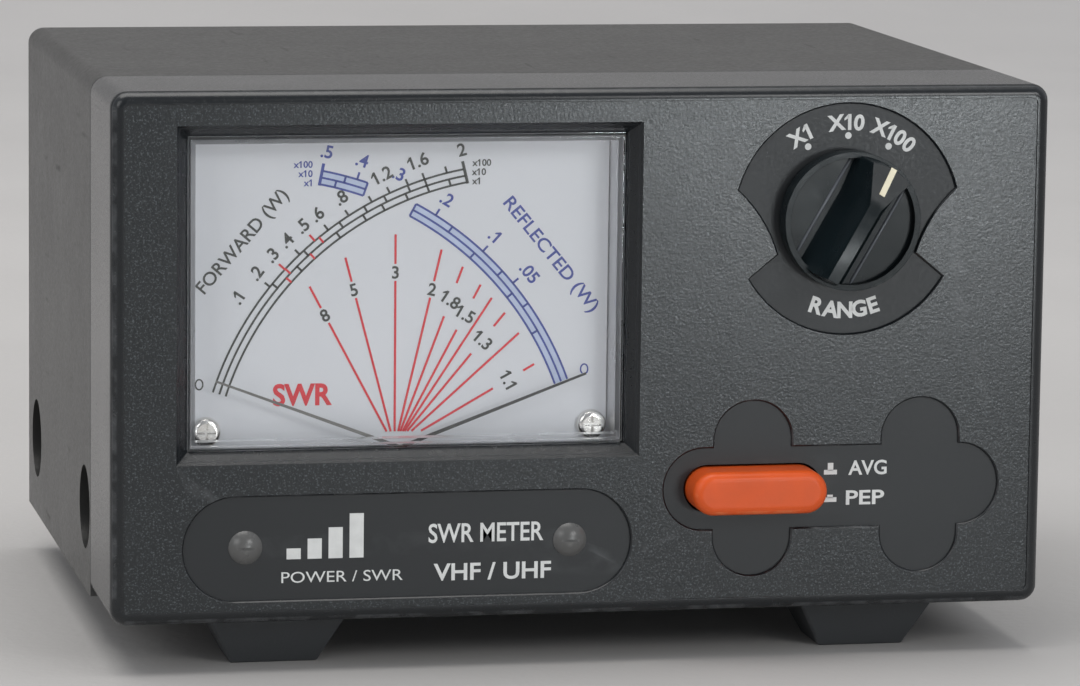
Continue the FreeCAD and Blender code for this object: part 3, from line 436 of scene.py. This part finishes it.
class Ink:
    """Print on a plane that faces the front, gathered into one mesh. Points are (x, z) in metres."""

    def __init__(self, y, facing=-1):
        self.y, self.facing = y, facing
        self.points, self.faces = [], []

    def face(self, corners):
        first = len(self.points)
        self.points += [(x, self.y, z) for x, z in corners]
        order = range(first, first + len(corners))
        self.faces.append(list(order) if self.facing < 0 else list(reversed(order)))

    def line(self, a, b, width):
        """A straight stroke from a to b."""
        dx, dz = b[0] - a[0], b[1] - a[1]
        length = math.hypot(dx, dz)
        nx, nz = -dz / length * width / 2, dx / length * width / 2
        self.face([(a[0] - nx, a[1] - nz), (b[0] - nx, b[1] - nz),
                   (b[0] + nx, b[1] + nz), (a[0] + nx, a[1] + nz)])

    def path(self, points, width):
        """A stroke of even width along many points."""
        sides = []
        for i, (x, z) in enumerate(points):
            a, b = points[max(0, i - 1)], points[min(len(points) - 1, i + 1)]
            dx, dz = b[0] - a[0], b[1] - a[1]
            length = math.hypot(dx, dz)
            nx, nz = -dz / length * width / 2, dx / length * width / 2
            sides.append(((x - nx, z - nz), (x + nx, z + nz)))
        for (low_a, high_a), (low_b, high_b) in zip(sides, sides[1:]):
            self.face([low_a, low_b, high_b, high_a])

    def dot(self, x, z, r, corners=20):
        self.face([(x + r * math.cos(math.tau * i / corners), z + r * math.sin(math.tau * i / corners))
                   for i in range(corners)])

    def words(self, text, middle, cap, turn=0.0, width=None, weight=0.0):
        """Lettering `cap` high, centred on `middle`, its baseline turned by `turn` degrees."""
        outline, faces, low, high = lettering(text, weight)
        tall = cap / LETTER_HEIGHT
        wide = width / (high.x - low.x) if width else tall
        cos, sin = math.cos(math.radians(turn)), math.sin(math.radians(turn))
        centre_x, centre_y = (low.x + high.x) / 2, LETTER_HEIGHT / 2
        first = len(self.points)
        for p in outline:
            u, v = (p.x - centre_x) * wide, (p.y - centre_y) * tall
            x = middle[0] + (u * cos - v * sin if self.facing < 0 else -(u * cos - v * sin))
            self.points.append((x, self.y, middle[1] + u * sin + v * cos))
        self.faces += [[first + i for i in face] for face in faces]

    def piece(self, name, slot, material, body="case"):
        mesh = bpy.data.meshes.new(name)
        mesh.from_pydata(self.points, [], self.faces)
        return place_mesh(mesh, name, body, material)


def lettering(text, weight, flags=True):
    """Flat outline of some words in the built-in face: points, faces and box. A figure 1 gets a flag."""
    curve = bpy.data.curves.new("words", "FONT")
    curve.body = text
    curve.fill_mode = "FRONT"
    curve.offset = weight
    curve.resolution_u = 4
    holder = bpy.data.objects.new("words", curve)
    mesh = bpy.data.meshes.new_from_object(holder)
    points = [v.co.copy() for v in mesh.vertices]
    faces = [list(p.vertices) for p in mesh.polygons]
    for i, letter in enumerate(text):
        if letter == "1" and flags:
            right = lettering(text[:i + 1], weight, False)[3].x
            left = right - STEM - 2 * weight
            first = len(points)
            points += [Vector((left + x, LETTER_HEIGHT + z, 0)) for x, z in
                       ((0.02, weight), (-0.17, -0.17), (-0.17, -0.27), (0.02, -0.13 - weight))]
            faces.append([first, first + 1, first + 2, first + 3])
    low = Vector((min(p.x for p in points), min(p.y for p in points)))
    high = Vector((max(p.x for p in points), max(p.y for p in points)))
    bpy.data.objects.remove(holder)
    bpy.data.curves.remove(curve)
    return points, faces, low, high


LETTER_HEIGHT = lettering("H", 0.0)[3].y
STEM = lettering("I", 0.0)[3].x - lettering("I", 0.0)[2].x


def print_ink(name, colour, rough=0.45):
    f = Finish(name, colour, rough).mottle(1.5, 0.06).gloss(1.0, 0.05)
    return f.grain(0.08, 0.004).done()


INK_BLACK = print_ink("ink_black", (0.035, 0.04, 0.035))
INK_BLUE = print_ink("ink_blue", (0.035, 0.06, 0.33))
INK_RED = print_ink("ink_red", (0.72, 0.02, 0.035))
INK_PALE = print_ink("ink_pale_blue", (0.50, 0.58, 0.76))
INK_WHITE = print_ink("ink_white", (0.70, 0.71, 0.70), 0.5)


class Scale:
    """One needle's curved scale: three arcs, crossed by ticks at angles seen from the needle's pivot."""

    def __init__(self, pivot, offset, radius):
        self.pivot, self.offset, self.radius = pivot, offset, radius

    def at(self, degrees, out):
        """The point `out` mm outside the middle arc, along a ray from the pivot."""
        a = math.radians(degrees)
        along = self.offset[0] * math.cos(a) + self.offset[1] * math.sin(a)
        across = self.offset[0] * math.sin(a) - self.offset[1] * math.cos(a)
        r = (along + math.sqrt(self.radius ** 2 - across ** 2) + out) * MM
        return (self.pivot.x + r * math.cos(a), self.pivot.z + r * math.sin(a))

    def arc(self, ink, start, end, out, width):
        count = max(2, int(abs(end - start)))
        ink.path([self.at(start + (end - start) * i / count, out) for i in range(count + 1)], width * MM)

    def tick(self, ink, degrees, low, high, width=0.32):
        ink.line(self.at(degrees, low), self.at(degrees, high), width * MM)

    def label(self, ink, text, degrees, out, cap, weight=0.02, width=None):
        ink.words(text, self.at(degrees, out), cap * MM, degrees - 90, width and width * MM, weight)


FORWARD = Scale(JOINTS["forward_needle_swing"], (-3.65, 1.77), 46.95)
REFLECTED = Scale(JOINTS["reflected_needle_swing"], (0.0, 0.0), 48.9)
DIAL_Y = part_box("meter_dial")[0].y
BAND = (-1.0, 0.0, 1.0)             # the three arcs, in mm from the middle one


def forward_scale(black, red):
    for out in BAND:
        FORWARD.arc(black, 161.5, 103.9, out, 0.30)
    for degrees, text in ((146.4, ".1"), (141.6, ".2"), (138.0, ".3"), (134.8, ".4"), (131.5, ".5"),
                          (128.6, ".6"), (124.1, ".8"), (116.9, "1.2"), (110.8, "1.6"), (103.6, "2")):
        FORWARD.label(black, text, degrees, 3.9, 1.8)
    for degrees in (142.0, 134.9, 128.8, 124.7, 120.3, 117.0, 113.7, 110.8, 106.9):
        FORWARD.tick(black, degrees, 1.0, 2.0)
    for degrees in (141.4, 134.0, 126.6, 121.8, 118.1, 113.8, 110.8):
        FORWARD.tick(black, degrees, 0.0, 1.0)
    for degrees in (136.6, 128.0, 122.7, 119.1, 114.7, 110.8, 106.9):
        FORWARD.tick(black, degrees, -1.0, 0.0)
    for degrees in (138.3, 131.6):
        FORWARD.tick(red, degrees, 1.0, 2.2)
    for degrees in (138.2, 130.7):
        FORWARD.tick(red, degrees, 0.0, 1.0)
    for degrees in (139.2, 133.6):
        FORWARD.tick(red, degrees, -1.0, 0.0)
    FORWARD.tick(black, 103.9, -1.2, 2.2, 0.45)
    FORWARD.label(black, "FORWARD (W)", 139.3, 8.6, 1.9, 0.012, 19.0)


def reflected_scale(blue, pale):
    for start, end in ((78.6, 70.7), (61.6, 20.5)):
        for out in BAND:
            REFLECTED.arc(blue, start, end, out, 0.30)
        REFLECTED.arc(pale, start, end, 0.0, 2.0)
        REFLECTED.tick(blue, end if end > 70 else start, -1.0, 1.0)
    for degrees, text in ((78.6, ".5"), (72.7, ".4"), (66.4, ".3"), (57.5, ".2"), (47.7, ".1"),
                          (39.3, ".05")):
        REFLECTED.label(blue, text, degrees, 3.9, 1.8)
    for degrees in (72.6, 57.7, 47.4, 39.8):
        REFLECTED.tick(blue, degrees, 1.0, 2.1)
    for degrees in (74.6, 54.2, 42.6, 35.4):
        REFLECTED.tick(blue, degrees, 0.0, 1.0)
    for degrees in (76.0, 48.3, 38.5, 30.5):
        REFLECTED.tick(blue, degrees, -1.0, 0.0)
    REFLECTED.tick(blue, 78.75, -1.2, 2.1, 0.45)
    REFLECTED.label(blue, "REFLECTED (W)", 39.3, 8.2, 1.9, 0.012, 21.3)


def zero_loop(ink, scale, degrees, out):
    """The small open zero at the needle's resting place."""
    x, z = scale.at(degrees, out)
    ink.path([(x + 0.55 * MM * math.cos(math.tau * i / 16), z + 0.75 * MM * math.sin(math.tau * i / 16))
              for i in range(17)], 0.22 * MM)


def swr_rays(red, black):
    """Lines of equal SWR, spreading from a point under the dial's lower edge, each broken by its value."""
    base_x, base_z = METER_X - 0.7 * MM, CASE_LOW.z + 24.3 * MM
    for text, end_x, end_z, mid_x, mid_z in (
            ("8", -13.55, 48.3, -11.6, 43.8), ("5", -8.25, 52.5, -7.4, 47.6), ("3", -0.8, 55.85, -0.9, 50.2),
            ("2", 6.1, 53.5, 4.7, 47.6), ("1.8", 9.3, 50.9, 7.55, 46.0), ("1.5", 12.0, 48.2, 10.15, 43.6),
            ("", 13.7, 46.2, 0, 0), ("1.3", 15.7, 43.95, 12.9, 39.5), ("", 17.85, 40.9, 0, 0),
            ("1.1", 20.2, 36.2, 16.15, 34.2)):
        end = Vector((METER_X + end_x * MM, CASE_LOW.z + end_z * MM))
        start = Vector((base_x, base_z))
        along = (end - start).normalized()
        start = start + along * (2.25 * MM / along.y)
        if not text:
            red.line(start, end, 0.33 * MM)
            continue
        middle = start + along * (Vector((METER_X + mid_x * MM, CASE_LOW.z + mid_z * MM)) - start).dot(along)
        half = (0.75 + 0.62 * len(text)) * MM if len(text) > 1 else 1.25 * MM
        red.line(start, middle - along * half, 0.33 * MM)
        red.line(middle + along * half, end, 0.33 * MM)
        slope = math.degrees(math.atan2(along.y, along.x))
        turn = slope - 90 if len(text) == 1 else slope - 103 if slope > 65 else slope - 92
        black.words(text, middle, 1.75 * MM, turn, weight=0.02)


def dial_print():
    fill, blue, black, red = (Ink(DIAL_Y - depth * MM) for depth in (0.02, 0.04, 0.05, 0.06))
    forward_scale(black, red)
    reflected_scale(blue, fill)
    zero_loop(black, FORWARD, 161.0, 3.3)
    zero_loop(blue, REFLECTED, 21.0, 3.9)
    swr_rays(red, black)
    red.words("SWR", (METER_X - 14.5 * MM, CASE_LOW.z + 32.3 * MM), 3.0 * MM, width=8.8 * MM, weight=0.03)
    for row, text in enumerate(("x100", "x10", "x1")):
        z = CASE_LOW.z + (66.3 - row * 1.35) * MM
        blue.words(text, (METER_X + (-13.2 - 0.35 * len(text)) * MM, z), 0.95 * MM, weight=0.02)
        black.words(text, (METER_X + (10.3 + 0.42 * len(text)) * MM, z), 0.95 * MM, weight=0.02)
    for name, ink, material in (("dial_print_fill", fill, INK_PALE), ("dial_print_blue", blue, INK_BLUE),
                                ("dial_print_black", black, INK_BLACK), ("dial_print_red", red, INK_RED)):
        ink.piece(name, "dial_face", material)


dial_print()


def ring_words(ink, text, radius, middle_deg, cap, step_deg, weight=0.02):
    """Words set letter by letter around the knob; negative steps read clockwise, over the top."""
    for i, letter in enumerate(text):
        degrees = middle_deg + (i - (len(text) - 1) / 2) * step_deg
        a = math.radians(degrees)
        place = (KNOB.x + radius * MM * math.cos(a), KNOB.z + radius * MM * math.sin(a))
        ink.words(letter, place, cap * MM, degrees - 90 if step_deg < 0 else degrees + 90, weight=weight)


def panel_print():
    """White print in the three label recesses."""
    ink = Ink(RECESS_Y - 0.03 * MM)
    low_z = CASE_LOW.z
    for text, degrees in (("X1", 119.5), ("X10", 90.4), ("X100", 60.0)):
        ring_words(ink, text, 14.35, degrees, 2.15, -6.9, 0.035)
    for degrees in (119.5, 90.0, 60.0):
        a = math.radians(degrees)
        ink.dot(KNOB.x + 12.35 * MM * math.cos(a), KNOB.z + 12.35 * MM * math.sin(a), 0.5 * MM)
    ring_words(ink, "RANGE", 13.6, 270, 2.25, 9.2, 0.035)
    for text, x, z in (("AVG", 43.3, 20.95), ("PEP", 43.0, 16.45)):
        ink.words(text, (x * MM, low_z + z * MM), 2.05 * MM, width=5.9 * MM, weight=0.02)
    for z, stub in ((20.0, 1.0), (15.85, 0.35)):
        ink.line((36.6 * MM, low_z + (z + 0.35) * MM), (38.6 * MM, low_z + (z + 0.35) * MM), 0.7 * MM)
        ink.line((37.6 * MM, low_z + (z + 0.6) * MM), (37.6 * MM, low_z + (z + 0.75 + stub) * MM), 0.85 * MM)
    for i, tall in enumerate((1.6, 3.0, 4.6, 6.6)):
        x = METER_X + (-17.0 + 3.1 * i) * MM
        ink.line((x, low_z + 9.3 * MM), (x, low_z + (9.3 + tall) * MM), 2.1 * MM)
    ink.words("POWER / SWR", (METER_X - 9.8 * MM, low_z + 6.6 * MM), 1.6 * MM, width=18.0 * MM, weight=0.0)
    ink.words("SWR METER", (METER_X + 11.6 * MM, low_z + 12.6 * MM), 2.7 * MM, width=17.2 * MM, weight=0.015)
    ink.words("VHF / UHF", (METER_X + 12.6 * MM, low_z + 6.8 * MM), 2.4 * MM, width=17.6 * MM, weight=0.02)
    ink.piece("panel_print", "case_plastic", INK_WHITE)


panel_print()


# ---------------------------------------------------------------- rear sockets

def threaded_socket(node):
    """The socket with a cut thread in place of its plain barrel."""
    low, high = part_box(node)
    middle_x, middle_z = (low.x + high.x) / 2, (low.z + high.z) / 2
    mesh = clean_copy(node)
    tip = high.y
    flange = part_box("rear_panel")[1].y + 3.0 * MM
    outer = 7.94 * MM
    work = bmesh.new()
    work.from_mesh(mesh)

    def on_barrel(v):
        from_axis = math.hypot(v.co.x - middle_x, v.co.z - middle_z)
        return abs(from_axis - outer) < 0.06 * MM and v.co.y > flange - 0.6 * MM

    barrel = [f for f in work.faces if all(on_barrel(v) for v in f.verts)]
    bmesh.ops.delete(work, geom=barrel, context="FACES")
    around, pitch, depth = 72, 1.058 * MM, 0.42 * MM
    start, end = flange - 0.05 * MM, tip
    rows = int((end - start) / pitch * 8)
    grid = []
    for j in range(rows + 1):
        y = start + (end - start) * j / rows
        plain = min(1.0, (y - start) / (1.6 * MM), (end - y) / (0.8 * MM))
        ring = []
        for i in range(around):
            phase = ((y - start) / pitch - i / around) % 1.0
            groove = min(1.0, 2.2 * abs(phase - 0.5))
            r = outer - depth * (1 - groove) * max(0.0, plain)
            a = math.tau * i / around
            ring.append(work.verts.new((middle_x + r * math.cos(a), y, middle_z + r * math.sin(a))))
        grid.append(ring)
    for low_ring, high_ring in zip(grid, grid[1:]):
        for i in range(around):
            k = (i + 1) % around
            work.faces.new((low_ring[i], high_ring[i], high_ring[k], low_ring[k]))
    bmesh.ops.recalc_face_normals(work, faces=work.faces)
    work.to_mesh(mesh)
    work.free()
    piece = place_mesh(mesh, node + "_threaded", body_of(node), FINISHES[SLOT_OF[node]])
    mesh.set_sharp_from_angle(angle=math.radians(28))
    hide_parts(node)


for node in ("transmitter_socket", "antenna_socket"):
    threaded_socket(node)


def rear_print():
    """Generic names of the sockets and the lamp supply, read from behind."""
    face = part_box("rear_panel")[1].y
    ink = Ink(face + 0.03 * MM, facing=1)
    for node, text in (("transmitter_socket", "TX"), ("antenna_socket", "ANT")):
        low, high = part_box(node)
        ink.words(text, ((low.x + high.x) / 2, high.z + 4.5 * MM), 3.0 * MM, weight=0.015)
    low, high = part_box("power_jack")
    ink.words("DC 12V", ((low.x + high.x) / 2, low.z - 3.0 * MM), 2.0 * MM, weight=0.01)
    ink.piece("rear_print", "chassis_steel", INK_WHITE)


rear_print()


# ---------------------------------------------------------------- stage, light and camera

def sweep():
    """Pale floor that curves up into a backdrop."""
    profile = [(-3.0, 0.0), (0.9, 0.0)]
    turns = [math.radians(9 * i) for i in range(1, 11)]
    profile += [(0.9 + 0.8 * math.sin(a), 0.8 - 0.8 * math.cos(a)) for a in turns]
    profile.append((1.7, 3.0))
    mesh = bpy.data.meshes.new("sweep")
    points = [(x, y, z) for y, z in profile for x in (-3.5, 3.5)]
    mesh.from_pydata(points, [], [(2 * i, 2 * i + 1, 2 * i + 3, 2 * i + 2) for i in range(len(profile) - 1)])
    piece = bpy.data.objects.new("sweep", mesh)
    bpy.context.scene.collection.objects.link(piece)
    paper = Finish("backdrop_paper", (0.45, 0.438, 0.428), 0.75)
    # Painted light: the paper gets lighter towards the back, where the backdrop is brighter.
    painted_light_far = paper.ramp(paper.add("ShaderNodeSeparateXYZ", Vector=paper.place).outputs[1], 0.0, 1.1)
    paper.colour = paper.blend(painted_light_far, paper.colour, (0.68, 0.66, 0.645))
    mesh.materials.append(paper.mottle(120, 0.03).grain(2.0, 0.1).done())
    for polygon in mesh.polygons:
        polygon.use_smooth = True


def softbox(name, place, target, size, power, colour=(1, 1, 1)):
    light = bpy.data.lights.new(name, "AREA")
    light.shape = "RECTANGLE"
    light.size, light.size_y = size
    light.energy = power
    light.color = colour
    lamp = bpy.data.objects.new(name, light)
    lamp.location = place
    lamp.rotation_euler = (Vector(target) - Vector(place)).to_track_quat("-Z", "Y").to_euler()
    bpy.context.scene.collection.objects.link(lamp)


def camera():
    """Looks at the front from the left and slightly above."""
    yaw, pitch, roll = (math.radians(a) for a in (-11.806, -8.284, 0.696))
    ahead = Vector((-math.sin(yaw) * math.cos(pitch), math.cos(yaw) * math.cos(pitch), math.sin(pitch)))
    right = Vector((math.cos(yaw), math.sin(yaw), 0))
    up = right.cross(ahead)
    across = right * math.cos(roll) + up * math.sin(roll)
    upright = up * math.cos(roll) - right * math.sin(roll)
    data = bpy.data.cameras.new("camera")
    data.sensor_width = 36.0
    data.lens = 178.85
    data.clip_start, data.clip_end = 0.05, 20.0
    eye = bpy.data.objects.new("camera", data)
    eye.matrix_world = Matrix.Translation((-0.1659, -0.8179, 0.1613)) @ Matrix(
        (across, upright, -ahead)).transposed().to_4x4()
    bpy.context.scene.collection.objects.link(eye)
    bpy.context.scene.camera = eye


world = bpy.data.worlds.new("studio")
world.use_nodes = True
tree = world.node_tree
direction = tree.nodes.new("ShaderNodeSeparateXYZ")
tree.links.new(tree.nodes.new("ShaderNodeTexCoord").outputs["Generated"], direction.inputs[0])
level = tree.nodes.new("ShaderNodeMapRange")
for socket, value in zip(("From Min", "From Max", "To Min", "To Max"), (-0.9, 0.4, 0.30, 0.95)):
    level.inputs[socket].default_value = value
tree.links.new(direction.outputs[1], level.inputs["Value"])
tree.nodes["Background"].inputs["Color"].default_value = (0.92, 0.95, 1.0, 1)
tree.links.new(level.outputs[0], tree.nodes["Background"].inputs["Strength"])
bpy.context.scene.world = world
bpy.context.scene.view_settings.view_transform = "Standard"

sweep()
softbox("overhead", (-0.15, 0.0, 1.1), (0, 0, 0.03), (0.9, 0.9), 8.4, (1.0, 0.98, 0.95))
softbox("front_key", (0.25, -0.82, 0.030), (0.03, -0.06, 0.07), (0.16, 0.05), 0.62, (0.92, 0.98, 1.0))
softbox("front_fill", (0.36, -0.80, 0.40), (0.02, -0.06, 0.05), (0.34, 0.24), 1.6)
softbox("left_fill", (-0.9, -0.9, 0.6), (0, 0, 0.04), (0.6, 0.6), 2.5)
camera()
